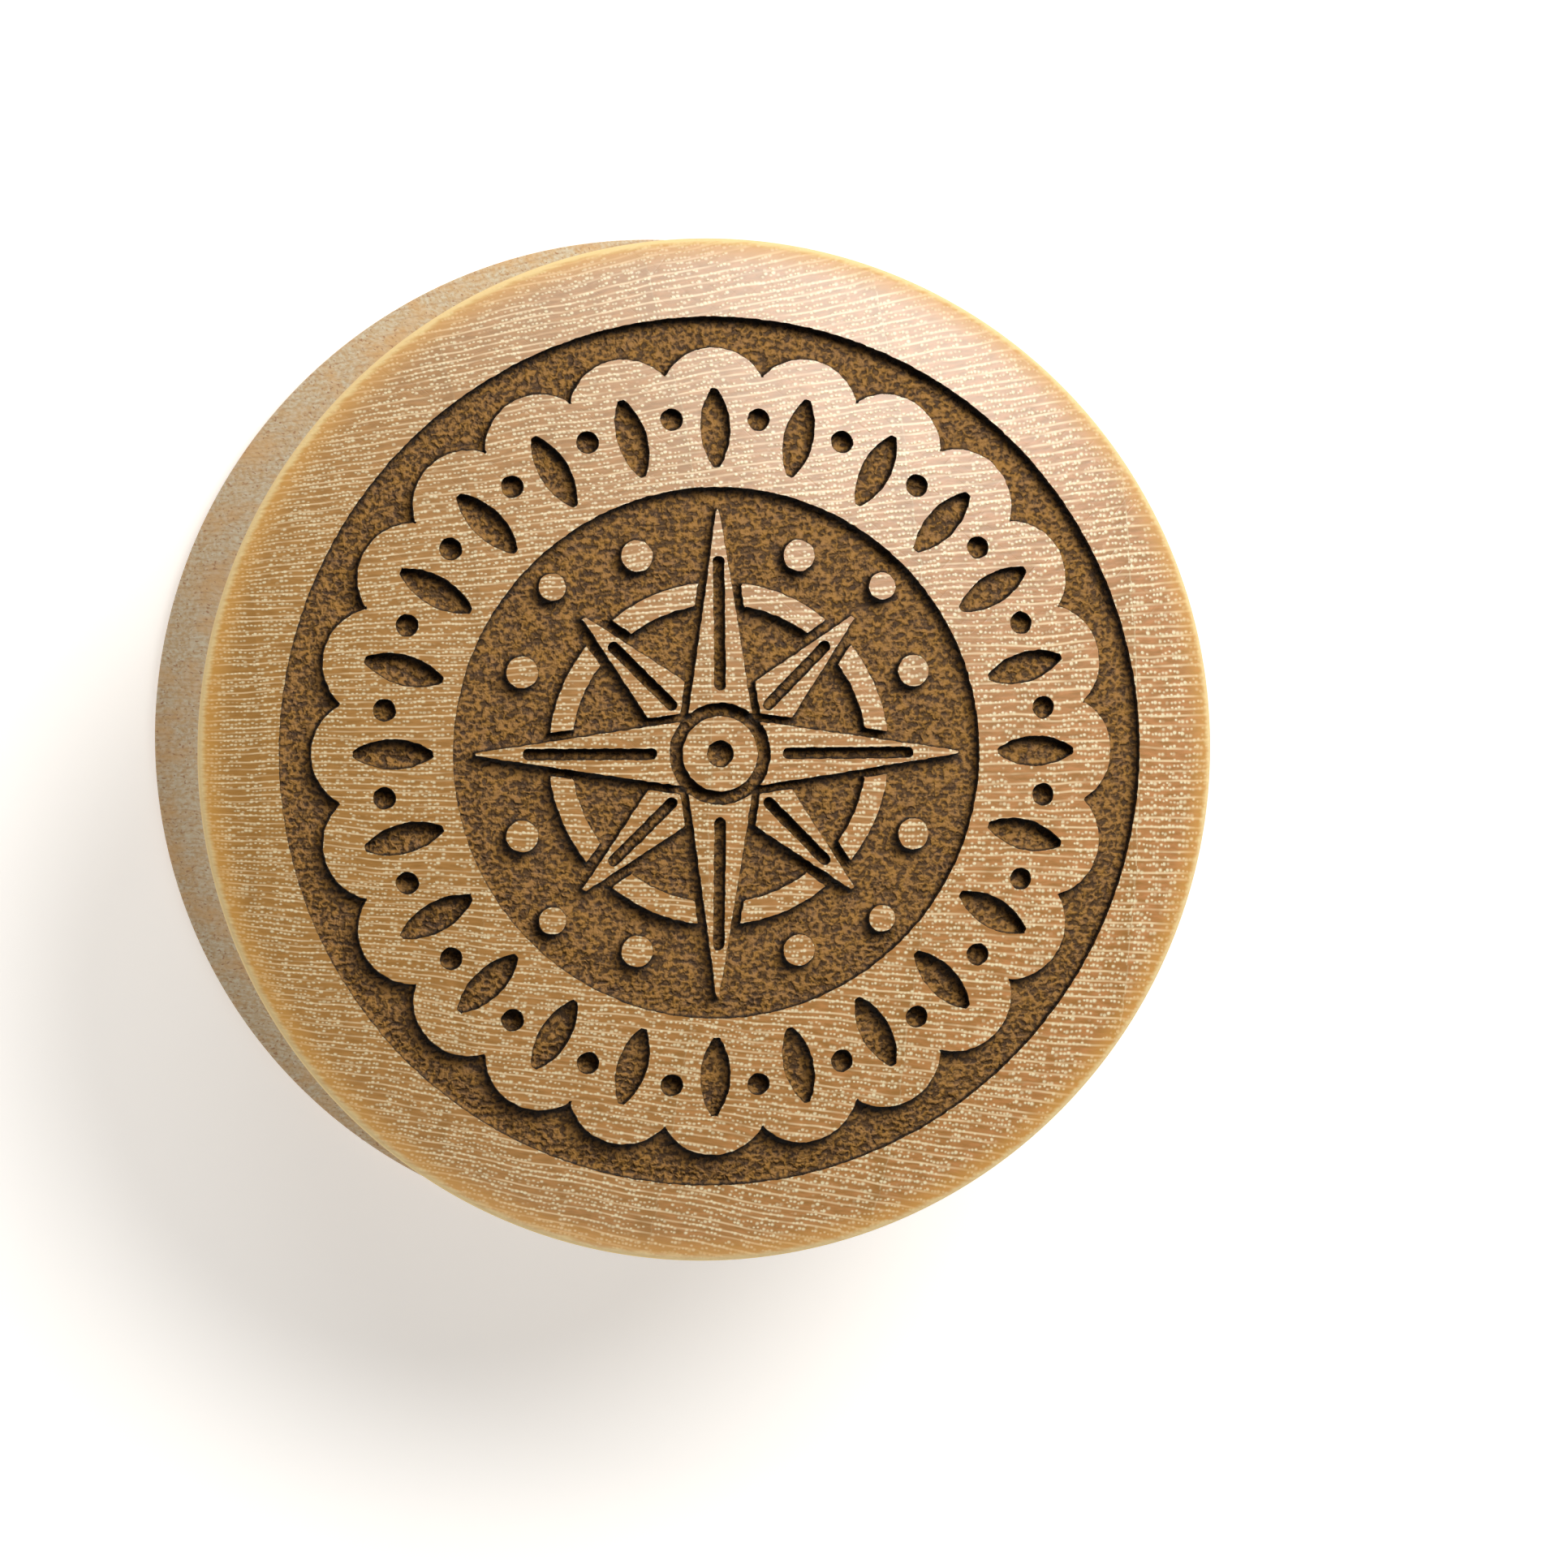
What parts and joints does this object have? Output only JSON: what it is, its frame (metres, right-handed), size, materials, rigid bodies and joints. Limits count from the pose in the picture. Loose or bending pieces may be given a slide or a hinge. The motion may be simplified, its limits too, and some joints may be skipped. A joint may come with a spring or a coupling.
{
  "type": "ear plug gauge",
  "caption": "Double-flared wooden ear plug whose waist sits in a stretched ear lobe, with a flat back and a domed front engraved with a compass star in a scalloped border.",
  "frame": {"origin": "middle of the flat back face, which is the surface the plug rests on", "axes": "+Z along the plug's axis from the flat back to the domed front; +X and +Y along two long points of the engraved star, with +Y up in the front view"},
  "size_m": [0.0276, 0.0276, 0.0145],
  "materials": {
    "turned_wood": "turned light hardwood with end grain on the front, sanded and oiled to a satin; the engraving is burnt dark brown"
  },
  "bodies": {
    "root": {"plug_body": "turned_wood"}
  },
  "joints": []
}
